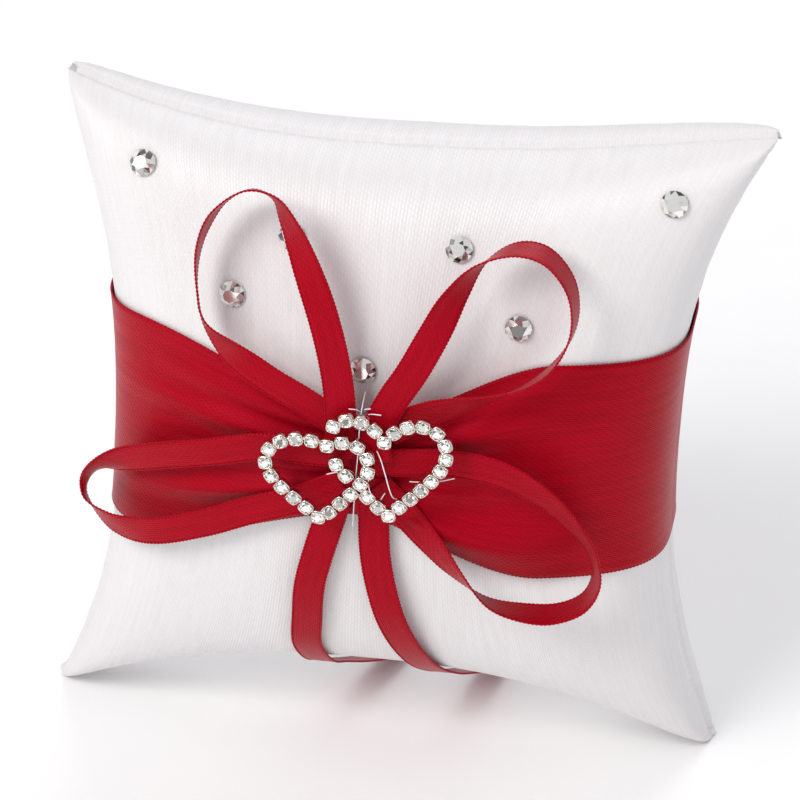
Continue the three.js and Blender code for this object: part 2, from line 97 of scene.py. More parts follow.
def seam_plane(u, v):
    """Point of the plane of the seam, u and v from -1 to 1: the mix of the four corners by
    their shares, with each side drawn in by 1 - |v| to the edge curve, fading to the other
    side, and with each ear leaning back by its own (u v) to the fourth. First u and v both
    shrink by the ear's roundness times (u v) to the sixth."""
    u, v = np.broadcast_arrays(u, v)
    ears = {
        name: ((u <= 0) == name.endswith("left")) & ((v > 0) == name.startswith("top"))
        for name in EAR_LEAN
    }
    reach = 1 - sum(here * EAR_ROUND[name] for name, here in ears.items()) * (u * v) ** EAR_ROUND_POWER
    u, v = u * reach, v * reach
    point = np.zeros(u.shape + (3,))
    for name, lean in EAR_LEAN.items():
        left, top = name.endswith("left"), name.startswith("top")
        share = (1 - u if left else 1 + u) * (1 + v if top else 1 - v) / 4
        across = (-0.5 if left else 0.5) * COVER_WIDTH + lean[0]
        up = (COVER_HEIGHT if top else 0) + lean[2]
        point += share[..., None] * np.array([across, 0, up])
        point[..., 1] += ears[name] * lean[1] * (u * v) ** 4
    along_side = 1 - np.abs(v) ** EDGE_CURVE
    along_end = 1 - np.abs(u) ** EDGE_CURVE
    left, right = SIDE_DRAW["left"], SIDE_DRAW["right"]
    top, bottom = SIDE_DRAW["top"], SIDE_DRAW["bottom"]
    point[..., 0] += along_side * (left * ((1 - u) / 2) ** 2 - right * ((1 + u) / 2) ** 2)
    point[..., 2] += along_end * (bottom * ((1 - v) / 2) ** 2 - top * ((1 + v) / 2) ** 2)
    return point


def share_of(s):
    """u for an even step s over the cloth: the sine of a quarter turn times s."""
    return np.clip(np.sin(np.pi / 2 * s), -0.9999999, 0.9999999)


def half_thickness(u, v):
    """Nothing along the seam and full at the crown: ((1 - u u)(1 - v v)) to half the fullness."""
    return HALF_THICKNESS * ((1 - u * u) * (1 - v * v)) ** (EDGE_FULLNESS / 2)


def cover_normal(u, v, side):
    """Outward normal: the gradient of (|y| / T) to 2 / fullness, less (1 - u u)(1 - v v)."""
    step = 1e-4
    along_u = (seam_plane(u + step, v) - seam_plane(u - step, v)) / (2 * step)
    along_v = (seam_plane(u, v + step) - seam_plane(u, v - step)) / (2 * step)
    power = 2 / EDGE_FULLNESS
    share = half_thickness(u, v) / HALF_THICKNESS
    by_y = side * power * share ** (power - 1) / HALF_THICKNESS
    by_u = 2 * u * (1 - v * v) - by_y * along_u[..., 1]
    by_v = 2 * v * (1 - u * u) - by_y * along_v[..., 1]
    area = along_u[..., 0] * along_v[..., 2] - along_u[..., 2] * along_v[..., 0]
    by_x = (by_u * along_v[..., 2] - by_v * along_u[..., 2]) / area
    by_z = (along_u[..., 0] * by_v - along_v[..., 0] * by_u) / area
    normal = np.stack([by_x, by_y + 0 * by_x, by_z], -1)
    return normal / np.linalg.norm(normal, axis=-1, keepdims=True)


def cover_point(s, t, side, distance):
    """Point at a distance outside the plain cover, s and t from -1 to 1, side -1 in front."""
    u, v = np.broadcast_arrays(share_of(s), share_of(t))
    point = seam_plane(u, v) + COVER_MIDDLE
    point[..., 1] += side * half_thickness(u, v)
    return point + np.asarray(distance)[..., None] * cover_normal(u, v, side)


def crowded(step):
    """Even steps crowd towards the seam, where the cover turns most."""
    return np.sign(step) * (1 - (1 - np.abs(step)) ** (1 / EDGE_FULLNESS))


def ripple(along, waves):
    """Sum of sines along a seam, each with its height, its waves per metre and its start."""
    return sum(height * np.sin(2 * np.pi * count * along + start) for height, count, start in waves)


def cover_relief(s, t, side):
    """How far the stuffed cloth stands off the plain cover: a groove along the seam, puckers
    that start at the seam and die out, and broad soft dents from the uneven stuffing."""
    u, v = np.broadcast_arrays(share_of(s), share_of(t))
    from_seam = half_thickness(u, v)
    groove = -SEAM_DEPTH * np.exp(-((from_seam / SEAM_REACH) ** 2))
    across, up = s * CLOTH_ACROSS / 2, t * CLOTH_ACROSS / 2
    on_side = u * u / (u * u + v * v + 1e-6)
    waves = [(0.45, 92, 0.4 + side), (0.3, 147, 1.9), (0.25, 61, 3.1 - side)]
    puckers = on_side * ripple(up, waves) + (1 - on_side) * ripple(across, waves)
    puckers = PUCKER_HEIGHT * puckers * np.exp(-from_seam / PUCKER_REACH)
    dents = ripple(across + 0.4 * up, [(0.5, 17, 0.7), (0.3, 31, 2.2)])
    dents = dents + ripple(up - 0.3 * across, [(0.5, 14, 1.3 + side), (0.3, 26, 4.0)])
    return groove + puckers + SOFT_DENT * 0.5 * dents * np.clip(from_seam / HALF_THICKNESS, 0, 1)


def make_piece(name, points, faces, uv, smooth=True):
    """New object at the origin from points, faces of equal size and a UV place for each point."""
    mesh = bpy.data.meshes.new(name)
    mesh.vertices.add(len(points))
    mesh.vertices.foreach_set("co", np.asarray(points, np.float32).ravel())
    mesh.loops.add(faces.size)
    mesh.loops.foreach_set("vertex_index", faces.astype(np.int32).ravel())
    mesh.polygons.add(len(faces))
    mesh.polygons.foreach_set("loop_start", np.arange(0, faces.size, faces.shape[1], dtype=np.int32))
    mesh.update(calc_edges=True)
    mesh.polygons.foreach_set("use_smooth", np.full(len(faces), smooth))
    places = mesh.uv_layers.new(name="UVMap")
    places.data.foreach_set("uv", np.asarray(uv, np.float32)[faces.ravel()].ravel())
    mesh.validate()
    piece = bpy.data.objects.new(name, mesh)
    bpy.context.scene.collection.objects.link(piece)
    return piece


def outward(points, faces):
    """The faces, turned round if the closed mesh's signed volume is negative."""
    a, b, c = (points[faces[:, i]] for i in (0, 1, 2))
    volume = np.einsum("ij,ij->i", a, np.cross(b, c)).sum()
    if faces.shape[1] == 4:
        d = points[faces[:, 3]]
        volume += np.einsum("ij,ij->i", a, np.cross(c, d)).sum()
    return faces if volume > 0 else faces[:, ::-1]


def shell(outer, inner):
    """Closed mesh between two grids [row, column, xyz]: the squares of both, and a rim."""
    rows, columns = outer.shape[:2]
    number = np.arange(rows * columns).reshape(rows, columns)
    near = np.stack([number[:-1, :-1], number[1:, :-1], number[1:, 1:], number[:-1, 1:]], -1)
    near = near.reshape(-1, 4)
    far = near[:, ::-1] + rows * columns
    edge = np.concatenate([number[0], number[1:, -1], number[-1, -2::-1], number[-2:0:-1, 0]])
    after = np.roll(edge, -1)
    rim = np.stack([edge, after, after + rows * columns, edge + rows * columns], -1)
    points = np.concatenate([outer.reshape(-1, 3), inner.reshape(-1, 3)])
    return points, outward(points, np.concatenate([near, far, rim]))


cover_steps = crowded(np.linspace(-1, 1, COVER_GRID + 1))
cover_s, cover_t = np.meshgrid(cover_steps, cover_steps, indexing="ij")
panels = [cover_point(cover_s, cover_t, side, cover_relief(cover_s, cover_t, side)) for side in (-1, 1)]
for panel in panels:
    # height h is pressed to half of h plus the root of h h + FOOT_PRESS FOOT_PRESS
    panel[..., 2] = (panel[..., 2] + np.hypot(panel[..., 2], FOOT_PRESS)) / 2
cover_uv = np.stack([cover_s, cover_t], -1).reshape(-1, 2) * CLOTH_ACROSS / 2
cover_points, cover_faces = shell(*panels)
cushion = make_piece("cushion", cover_points, cover_faces, np.concatenate([cover_uv, cover_uv + [1, 0]]))


def wired(tree, kind, inputs, **settings):
    """Shader node whose inputs are set to values or linked to the outputs given for them."""
    made = tree.nodes.new(kind)
    for name, value in settings.items():
        setattr(made, name, value)
    for name, value in inputs.items():
        if isinstance(value, bpy.types.NodeSocket):
            tree.links.new(value, made.inputs[name])
        else:
            made.inputs[name].default_value = value
    return made


def sum_node(tree, operation, first, second=0.0, third=0.0):
    """Output of a Math node."""
    inputs = {0: first, 1: second, 2: third}
    return wired(tree, "ShaderNodeMath", inputs, operation=operation).outputs[0]


def satin_weave_group():
    """Satin: warp floats lie side by side, each dips under a weft after four, and each row
    starts two fifths further on, which gives the fine slanting lines. Relief is the height
    of the threads and Tone their uneven lustre, both from 0 to 1. The satin material paints
    both into its colour as painted highlights and painted shade, and uses Tone for roughness."""
    tree = bpy.data.node_groups.new("satin weave", "ShaderNodeTree")
    tree.interface.new_socket("Place", in_out="INPUT", socket_type="NodeSocketVector")
    tree.interface.new_socket("Threads", in_out="INPUT", socket_type="NodeSocketFloat")
    tree.interface.new_socket("Relief", in_out="OUTPUT", socket_type="NodeSocketFloat")
    tree.interface.new_socket("Tone", in_out="OUTPUT", socket_type="NodeSocketFloat")
    given = tree.nodes.new("NodeGroupInput")
    result = tree.nodes.new("NodeGroupOutput")
    split = wired(tree, "ShaderNodeSeparateXYZ", {"Vector": given.outputs["Place"]})
    across = sum_node(tree, "MULTIPLY", split.outputs["X"], given.outputs["Threads"])
    along = sum_node(tree, "MULTIPLY", split.outputs["Y"], given.outputs["Threads"])
    row = sum_node(tree, "FLOOR", across)
    floats = sum_node(tree, "MULTIPLY_ADD", along, 0.3, sum_node(tree, "MULTIPLY", row, 0.4))
    round_across = sum_node(tree, "PINGPONG", across, 0.5)
    round_along = sum_node(tree, "PINGPONG", floats, 0.5)
    dip = sum_node(tree, "MINIMUM", sum_node(tree, "MULTIPLY", round_along, 5.0), 1.0)
    relief = sum_node(tree, "MULTIPLY", sum_node(tree, "MULTIPLY", round_across, 2.0), dip)
    stretched = wired(
        tree,
        "ShaderNodeVectorMath",
        {0: given.outputs["Place"], 1: (900, 60, 0)},
        operation="MULTIPLY",
    )
    slub = wired(
        tree,
        "ShaderNodeTexNoise",
        {"Vector": stretched.outputs[0], "Detail": 3.0, "Scale": 1.0},
    )
    tree.links.new(relief, result.inputs["Relief"])
    tree.links.new(slub.outputs["Fac"], result.inputs["Tone"])
    return tree


satin_weave = satin_weave_group()


def satin(name, painted_lit_colour, painted_shade_colour, threads, roughness, bump, sheen, sheen_tint, gloss, gloss_tint):
    """Satin on a piece's UV map, whose places are metres of cloth, warp along V. Its base
    colour is painted light and shade: it mixes a painted highlight colour and a painted shade
    colour by the weave's thread height and its lustre streaks.
    """
    material = bpy.data.materials.new(name)
    material.use_nodes = True
    tree = material.node_tree
    place = wired(tree, "ShaderNodeUVMap", {}, uv_map="UVMap").outputs["UV"]
    weave = wired(tree, "ShaderNodeGroup", {"Place": place, "Threads": threads}, node_tree=satin_weave)
    painted_light_mix = sum_node(tree, "MULTIPLY_ADD", weave.outputs["Relief"], 0.5, weave.outputs["Tone"])
    painted_light_mix = sum_node(tree, "SUBTRACT", painted_light_mix, 0.25)
    # Base colour: painted highlights on the thread tops and lustre streaks, painted shade in the dips between
    # threads.
    colour = wired(tree, "ShaderNodeMix", {6: painted_shade_colour, 7: painted_lit_colour, "Factor": painted_light_mix}, data_type="RGBA")
    height = wired(
        tree,
        "ShaderNodeBump",
        {"Height": weave.outputs["Relief"], "Strength": bump, "Distance": 0.3 / threads},
    )
    matt = sum_node(tree, "MULTIPLY_ADD", weave.outputs["Tone"], -0.12, roughness + 0.06)
    shader = tree.nodes["Principled BSDF"]
    tree.links.new(colour.outputs[2], shader.inputs["Base Color"])
    tree.links.new(height.outputs["Normal"], shader.inputs["Normal"])
    tree.links.new(matt, shader.inputs["Roughness"])
    shader.inputs["Sheen Weight"].default_value = sheen
    shader.inputs["Sheen Roughness"].default_value = 0.35
    shader.inputs["Sheen Tint"].default_value = sheen_tint
    shader.inputs["Specular IOR Level"].default_value = gloss
    shader.inputs["Specular Tint"].default_value = gloss_tint
    return material


# White satin whose two colours are painted light and shade: a painted highlight white and a painted shade
# white.
white_satin = satin(
    "white satin",
    painted_lit_colour=(0.82, 0.805, 0.815, 1),
    painted_shade_colour=(0.73, 0.70, 0.70, 1),
    threads=1900,
    roughness=0.42,
    bump=0.3,
    sheen=0.15,
    sheen_tint=(1, 0.98, 1, 1),
    gloss=0.5,
    gloss_tint=(1, 1, 1, 1),
)
cushion.data.materials.append(white_satin)
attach(cushion, BODY)
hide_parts("front_panel", "back_panel", "filling")


# ---- closing stitches ----
# The gap that the cover was turned and stuffed through is closed by hand with clear nylon
# thread, in stitches that cross from panel to panel under the bottom seam.
NYLON_DIAMETER = 0.25 * MM
CLOSING_LENGTH = 56 * MM
CLOSING_STITCHES = 14


def curve_through(stations, step):
    """Centripetal Catmull-Rom curve through the stations, in points an even step apart."""
    stations = np.asarray(stations, float)
    ends = [2 * stations[0] - stations[1]], [2 * stations[-1] - stations[-2]]
    points = np.concatenate([ends[0], stations, ends[1]])
    steps = np.linalg.norm(np.diff(points[:, :3], axis=0), axis=1)
    knots = np.concatenate([[0], np.cumsum(steps**0.5)])
    share = np.linspace(0, 1, 60, endpoint=False)[None, :, None]
    k = [knots[i : len(knots) - 3 + i, None, None] for i in range(4)]
    p = [points[i : len(points) - 3 + i, None, :] for i in range(4)]
    at = k[1] + share * (k[2] - k[1])
    first = [((k[i + 1] - at) * p[i] + (at - k[i]) * p[i + 1]) / (k[i + 1] - k[i]) for i in range(3)]
    second = [((k[i + 2] - at) * first[i] + (at - k[i]) * first[i + 1]) / (k[i + 2] - k[i]) for i in (0, 1)]
    fine = ((k[2] - at) * second[0] + (at - k[1]) * second[1]) / (k[2] - k[1])
    fine = np.concatenate([fine.reshape(-1, points.shape[1]), stations[-1:]])
    along = np.concatenate([[0], np.cumsum(np.linalg.norm(np.diff(fine[:, :3], axis=0), axis=1))])
    even = np.linspace(0, along[-1], max(2, round(along[-1] / step) + 1))
    return np.stack([np.interp(even, along, column) for column in fine.T], -1)


def ring_frames(line):
    """Two directions square to a line at each of its points: the first is kept as near as it
    can be to its last one by taking away its share along the line."""
    tangent = np.gradient(line, axis=0)
    tangent /= np.linalg.norm(tangent, axis=1, keepdims=True)
    across = np.zeros_like(line)
    last = np.cross(tangent[0], [0.3, 0.5, 0.81])
    for i, direction in enumerate(tangent):
        last = last - (last @ direction) * direction
        last = last / np.linalg.norm(last)
        across[i] = last
    return across, np.cross(tangent, across)


def tube(line, radius, sides, frames=None):
    """Closed tube along a line, with one radius or one for each point, and its UV places."""
    across, up = ring_frames(line) if frames is None else frames
    radius = np.broadcast_to(radius, len(line))
    angle = np.linspace(0, 2 * np.pi, sides, endpoint=False)
    ring = np.cos(angle)[None, :, None] * across[:, None] + np.sin(angle)[None, :, None] * up[:, None]
    points = line[:, None] + radius[:, None, None] * ring
    number = np.arange(len(line) * sides).reshape(len(line), sides)
    after = np.roll(number, -1, axis=1)
    walls = np.stack([number[:-1], number[1:], after[1:], after[:-1]], -1).reshape(-1, 4)
    fan = [[0, i, i + 1, i + 2] for i in range(1, sides - 1, 2)]
    caps = [number[0][fan], number[-1][fan][:, ::-1]]
    faces = outward(points.reshape(-1, 3), np.concatenate([walls, *caps]))
    along = np.concatenate([[0], np.cumsum(np.linalg.norm(np.diff(line, axis=0), axis=1))])
    uv = np.stack(np.broadcast_arrays(angle[None] * radius[:, None], along[:, None]), -1)
    return points.reshape(-1, 3), faces, uv.reshape(-1, 2)


def joined(*parts):
    """One list of points, faces and UV places from several."""
    starts = np.cumsum([0] + [len(points) for points, _, _ in parts[:-1]])
    faces = [part_faces + start for (_, part_faces, _), start in zip(parts, starts)]
    return (
        np.concatenate([points for points, _, _ in parts]),
        np.concatenate(faces),
        np.concatenate([uv for _, _, uv in parts]),
    )


closing_share = np.linspace(-0.5, 0.5, 2 * CLOSING_STITCHES + 1)
closing_line = seam_plane(closing_share * 2 * CLOSING_LENGTH / COVER_WIDTH, -0.9999999) + COVER_MIDDLE
closing_line[:, 1] += np.where(np.arange(len(closing_share)) // 2 % 2, 0.7, -0.7) * MM
closing_line[:, 2] -= np.where(np.arange(len(closing_share)) % 2, 0.15, 0.3) * MM
closing_stitches = make_piece(
    "closing_stitches", *tube(curve_through(closing_line, 0.3 * MM), NYLON_DIAMETER / 2, 6)
)


def nylon_thread():
    """Clear nylon thread: glossy, milky white, with a faint mottle along its length."""
    material = bpy.data.materials.new("clear nylon thread")
    material.use_nodes = True
    tree = material.node_tree
    place = wired(tree, "ShaderNodeTexCoord", {}).outputs["Object"]
    mottle = wired(tree, "ShaderNodeTexNoise", {"Vector": place, "Scale": 900.0}).outputs["Fac"]
    colour = wired(
        tree,
        "ShaderNodeMix",
        {6: (0.82, 0.72, 0.78, 1), 7: (0.97, 0.95, 0.96, 1), "Factor": mottle},
        data_type="RGBA",
    )
    shader = tree.nodes["Principled BSDF"]
    tree.links.new(colour.outputs[2], shader.inputs["Base Color"])
    tree.links.new(sum_node(tree, "MULTIPLY_ADD", mottle, 0.2, 0.1), shader.inputs["Roughness"])
    shader.inputs["Coat Weight"].default_value = 0.5
    return material


clear_nylon = nylon_thread()
closing_stitches.data.materials.append(clear_nylon)
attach(closing_stitches, BODY)
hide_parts("closing_thread")


# ---- wide band ----
# One length of wide satin ribbon with woven picot edges, laid round the cover from the middle
# of the back and lapped there. At the front it is drawn up to under half its width by the
# gathering thread, and its folds open out on both sides.
BAND_WIDTH = 49 * MM
BAND_GATHERED_WIDTH = 22 * MM
BAND_THICKNESS = 0.35 * MM
BAND_CLEARANCE = 0.55 * MM  # cover to the middle of the cloth
BAND_MIDDLE = 75.5 * MM
GATHER_CENTRE = -2.5 * MM
GATHER_REACH = {"left": 48 * MM, "right": 36 * MM}
LAP_STEP = 0.125
LAP_LIFT = 0.8 * MM
PICOT_PITCH = 0.85 * MM
PICOT_RADIUS = 0.2 * MM
# Each fold: its height on the band at the gather and where it ends, as shares of the half
# width, how far it reaches as a share of the gather's reach, its rise and its half width.
LEFT_FOLDS = [
    (0.78, 0.66, 0.75, 1.5, 1.9),
    (0.34, 0.36, 0.95, 1.8, 2.2),
    (-0.08, 0.02, 0.7, 1.5, 1.7),
    (-0.42, -0.5, 1.0, 1.9, 2.3),
    (-0.85, -0.86, 0.65, 1.3, 1.8),
]
RIGHT_FOLDS = [
    (0.84, 0.86, 0.6, 1.2, 1.8),
    (0.46, 0.5, 0.95, 2.0, 2.6),
    (0.04, 0.06, 0.8, 1.6, 1.9),
    (-0.36, -0.2, 0.7, 1.4, 1.5),
    (-0.78, -0.62, 1.15, 2.9, 4.2),
]


def smooth_step(value, low, high):
    """0 below low, 1 above high, and 3 x x - 2 x x x between."""
    x = np.clip((value - low) / (high - low), 0, 1)
    return x * x * (3 - 2 * x)


def step_at_height(s, height):
    """The step t at which the seam plane stands at a height, found by halving."""
    low = np.full(np.broadcast(s, height).shape, -1.0)
    high = -low
    for _ in range(40):
        middle = (low + high) / 2
        below = seam_plane(share_of(s), share_of(middle))[..., 2] < height
        low = np.where(below, middle, low)
        high = np.where(below, high, middle)
    return (low + high) / 2


def fold_lift(offset, share, width):
    """How far the gathered cloth rises: each fold is a bell across the band, whose middle runs
    from its place at the gather to its end, and which swells past the knot and dies out."""
    lift = np.zeros(np.broadcast(offset, share).shape)
    for side, folds in ((-1, LEFT_FOLDS), (1, RIGHT_FOLDS)):
        reach = GATHER_REACH["left" if side < 0 else "right"]
        out = np.abs(offset) / reach
        here = (offset * side > 0) + 0.5 * (offset == 0)
        for start, end, length, rise, spread in folds:
            centre = start + (end - start) * np.clip(out / length, 0, 1)
            bell = np.exp(-(((share - centre) * width / 2 / (spread * MM * (0.7 + 0.8 * out))) ** 2))
            swell = 0.25 + 0.75 * smooth_step(np.abs(offset), 2 * MM, 14 * MM)
            lift += here * rise * MM * bell * swell * (1 - smooth_step(out, 0.45 * length, 1.25 * length))
    return lift


def band_line(turn, share, distance):
    """Point of the band: turn runs from below -2 at the back, through -1 at the left seam, 0 in
    the middle of the front and 1 at the right seam, to above 2 at the back; share runs from
    -1 at the lower edge to 1 at the upper one."""
    front = np.abs(turn) <= 1
    step = np.where(front, turn, np.sign(turn) * (2 - np.abs(turn)))
    s = crowded(step)
    offset = seam_plane(share_of(s), 0.0)[..., 0] - GATHER_CENTRE
    reach = np.where(offset < 0, GATHER_REACH["left"], GATHER_REACH["right"])
    opened = smooth_step(np.abs(offset), 0, reach)
    width = np.where(front, BAND_GATHERED_WIDTH + (BAND_WIDTH - BAND_GATHERED_WIDTH) * opened, BAND_WIDTH)
    t = step_at_height(s, BAND_MIDDLE + share * width / 2)
    lift = np.where(front, fold_lift(offset, share, width), 0)
    lift = lift + LAP_LIFT * smooth_step(turn, 2 - 2.2 * LAP_STEP, 2 - 1.2 * LAP_STEP)
    point = cover_point(s, t, -1, BAND_CLEARANCE + lift + distance)
    behind = cover_point(s, t, 1, BAND_CLEARANCE + lift + distance)
    return np.where(front[..., None], point, behind)


band_turns = np.concatenate(
    [
        np.linspace(-2 - LAP_STEP, -1, 66)[:-1],
        np.linspace(-1, 1, 261),
        np.linspace(1, 2 + LAP_STEP, 66)[1:],
    ]
)
band_shares = np.linspace(-1, 1, 57)
turns, shares = np.meshgrid(band_turns, band_shares, indexing="ij")
band_faces = [band_line(turns, shares, side * BAND_THICKNESS / 2) for side in (1, -1)]


def lengths_along(points, axis=0):
    """How far each grid point is from the first one along that axis."""
    steps = np.linalg.norm(np.diff(points, axis=axis), axis=-1)
    start = np.zeros_like(np.take(steps, [0], axis=axis))
    return np.concatenate([start, np.cumsum(steps, axis=axis)], axis=axis)


def picot_edge(line, frames=None):
    """The woven loops along a ribbon's edge: a fine tube whose radius swells at each loop."""
    line = curve_through(line, PICOT_PITCH / 4)
    along = lengths_along(line)
    radius = PICOT_RADIUS * (1 + 0.35 * np.cos(2 * np.pi * along / PICOT_PITCH))
    return tube(line, radius, 6, frames)


def band_part():
    """The band's cloth and its two picot edges, with UV places in metres of cloth."""
    points, faces = shell(*band_faces)
    middle = (band_faces[0] + band_faces[1]) / 2
    along = lengths_along(middle[:, len(band_shares) // 2])
    uv = np.stack([shares * BAND_WIDTH / 2, np.broadcast_to(along[:, None], shares.shape)], -1)
    uv = uv.reshape(-1, 2)
    cloth = points, faces, np.concatenate([uv, uv])
    return joined(cloth, *(picot_edge(middle[::2, column]) for column in (0, -1)))


wide_band = make_piece("gathered_band", *band_part())
# Crimson satin whose two colours are painted light and shade: a painted highlight crimson and a painted shade
# crimson.
crimson_satin = satin(
    "crimson satin",
    painted_lit_colour=(0.46, 0.002, 0.014, 1),
    painted_shade_colour=(0.26, 0.0008, 0.006, 1),
    threads=2100,
    roughness=0.38,
    bump=0.35,
    sheen=0.04,
    sheen_tint=(1, 0.12, 0.2, 1),
    gloss=0.3,
    gloss_tint=(1, 0.1, 0.18, 1),
)
wide_band.data.materials.append(crimson_satin)
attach(wide_band, BODY)
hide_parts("wide_band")


# ---- bow ----
# Four loops and two tails of narrow satin ribbon with the same picot edges. They are sewn
# down over the gather, one on the other: tails, lower strands, upper strands, then the legs
# of the two upper loops. The tails hang down and are tucked under the cushion.
RIBBON_WIDTH = 6 * MM
RIBBON_THICKNESS = 0.3 * MM
RIBBON_COLUMNS = 13
# Where each loop turns over: share of its length and turn in degrees, where 0 is flat to the
# front and 90 on edge. A tail has none and keeps its width across the cushion.
LOOP_TURNS = {
    "bow_loop_upper_left": [(0.25, 0), (0.55, -75), (0.7, -105), (0.85, -180)],
    "bow_loop_upper_right": [(0.2, 0), (0.5, 95), (0.7, 95), (1, 180)],
    "bow_loop_left": [(0.35, 0), (0.65, -180)],
    "bow_loop_lower_right": [(0.15, 0), (0.6, 80), (0.95, 180)],
}
# Stations: across, out from the crown of the cover, and up.
BOW_ROUTES = {
    "bow_loop_upper_left": [
        [-5.6, 4.9, 80],
        [-5.7, 4.9, 88],
        [-6.4, 4.9, 98],
        [-8.8, 4.6, 110],
        [-12.3, 3.4, 120.5],
        [-16.1, 1, 128.5],
        [-19.8, -1.2, 133.2],
        [-25, -2.4, 133.9],
        [-30.9, -1.8, 130],
        [-34.4, -0.4, 122.6],
        [-35, 1, 114.2],
        [-33.6, 1.8, 106.6],
        [-28.4, 2.4, 100.6],
        [-21, 3.2, 95.6],
        [-13, 3.9, 91.4],
        [-6.6, 4.1, 87.2],
    ],
    "bow_loop_upper_right": [
        [1.2, 4.9, 80],
        [1.6, 4.9, 87],
        [4.6, 5, 94],
        [8.6, 5.2, 101],
        [13, 5, 110],
        [16.9, 3.8, 118.2],
        [21.6, 2, 124.6],
        [28.4, 0.8, 127.8],
        [34, 0.8, 126.8],
        [38.9, 1.8, 121.2],
        [39.9, 2.6, 113.4],
        [37.4, 3.2, 106.2],
        [32.4, 3.6, 100.6],
        [25, 3.9, 96.4],
        [13, 4.1, 92],
        [3.4, 4.1, 86.6],
    ],
    "bow_loop_left": [
        [-4.2, 3.3, 80],
        [-12, 3.3, 79.8],
        [-22, 2.9, 79.5],
        [-34, 1.6, 76.2],
        [-46, -1.4, 72.2],
        [-55, -5, 67.8],
        [-61, -8.2, 62],
        [-61.8, -8.6, 56.4],
        [-56.4, -5.8, 53],
        [-47, -1.4, 54.4],
        [-35.6, 0.9, 58.8],
        [-25, 1.9, 63.8],
        [-14.6, 2.5, 68],
        [-6, 2.5, 72.6],
    ],
    "bow_loop_lower_right": [
        [0.6, 3.3, 78.4],
        [8, 3.3, 79.4],
        [16, 3.3, 80],
        [26, 3.3, 78.6],
        [34.4, 2.8, 73.8],
        [40.2, 2, 67.6],
        [44.2, 1.2, 61],
        [45.3, 1.2, 54.6],
        [43, 1.6, 49.4],
        [37.3, 2.2, 46.4],
        [30.4, 3.2, 46.6],
        [23.8, 3.8, 48.6],
        [17, 3.4, 54.6],
        [11.6, 2.8, 61],
        [6.4, 2.5, 67.2],
        [1.2, 2.5, 73],
    ],
    "bow_tail_left": [
        [-6.4, 1.7, 74],
        [-8.4, 1.7, 65],
        [-11, 1.4, 56],
        [-13.4, 0.2, 46.4],
        [-14.6, -2.4, 36.4],
        [-15.4, -6.2, 27.4],
        [-14.2, -12.6, 19.6],
        [-13, -21, 14],
        [-9.6, -30, 8.6],
        [-6, -40, 3.6],
        [-2.4, -50, 0.9],
        [0.6, -58, 0.6],
    ],
    "bow_tail_right": [
        [0.6, 1.7, 74],
        [0.2, 1.7, 65],
        [0.4, 1.5, 56],
        [1.4, 0.8, 48],
        [3.2, -0.8, 39],
        [5.8, -4.2, 30.4],
        [8.6, -9.4, 23],
        [11.2, -17, 16.6],
        [13.6, -26, 11],
        [16, -36, 5.4],
        [18.4, -46, 1.4],
        [20.6, -55, 0.6],
    ],
}


def ribbon_frames(line, turns, hangs):
    """The ribbon's own directions at each point of its middle line: across its width and out
    of its face. Untwisted, the width is square to the line and to the pillow's depth; a
    turn then twists it about the line. Width that hangs stays level across instead."""
    along = np.gradient(line, axis=0)
    along /= np.linalg.norm(along, axis=1, keepdims=True)
    if hangs:
        width = [1, 0, 0] - along[:, :1] * along
    else:
        width = np.cross(along, [0, -1, 0])
    width /= np.linalg.norm(width, axis=1, keepdims=True)
    turn = turns[:, None]
    width = width * np.cos(turn) + np.cross(along, width) * np.sin(turn)
    return width, np.cross(along, width)


def ribbon_part(stations, places):
    """The ribbon's cloth and its two picot edges along the route, and its middle line. Its
    turn is the sum of the eased turns between neighbouring turning places."""
    across, out, up = np.array(stations, float).T * MM
    line = curve_through(np.stack([across, -HALF_THICKNESS - out, up], -1), 0.5 * MM) + COVER_MIDDLE
    passed = lengths_along(line) / lengths_along(line)[-1]
    turn = np.zeros(len(line))
    for (start, before), (end, after) in zip(places, places[1:]):
        turn += np.radians(after - before) * smooth_step(passed, start, end)
    width, face = ribbon_frames(line, turn, not places)
    share = np.linspace(-1, 1, RIBBON_COLUMNS)[None, :, None]
    middle = line[:, None] + share * width[:, None] * RIBBON_WIDTH / 2
    thin = RIBBON_THICKNESS / 2 * (1 - 0.6 * share**8)
    points, faces = shell(middle + thin * face[:, None], middle - thin * face[:, None])
    along = lengths_along(line)
    uv = np.stack(np.broadcast_arrays(share[..., 0] * RIBBON_WIDTH / 2, along[:, None]), -1)
    uv = uv.reshape(-1, 2)
    cloth = points, faces, np.concatenate([uv, uv])
    return joined(cloth, *(picot_edge(middle[::2, column]) for column in (0, -1))), line


for bow_name, stations in BOW_ROUTES.items():
    part, line = ribbon_part(stations, LOOP_TURNS.get(bow_name, []))
    ribbon = make_piece(bow_name + "_ribbon", *part)
    ribbon.data.materials.append(crimson_satin)
    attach(ribbon, BODY)
    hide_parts(bow_name)


# ---- gathering thread ----
# Clear nylon thread that draws the band together, comes up between the upper legs, crosses
# the bow and goes down between the tails. Its loose ends are left long and lie in small arcs,
# and a tuft of them stands at the top of the knot.
ORNAMENT_STAND_OFF = 6.4 * MM  # crown of the cover to the back of the hearts' setting
ORNAMENT_BACK = -HALF_THICKNESS - ORNAMENT_STAND_OFF
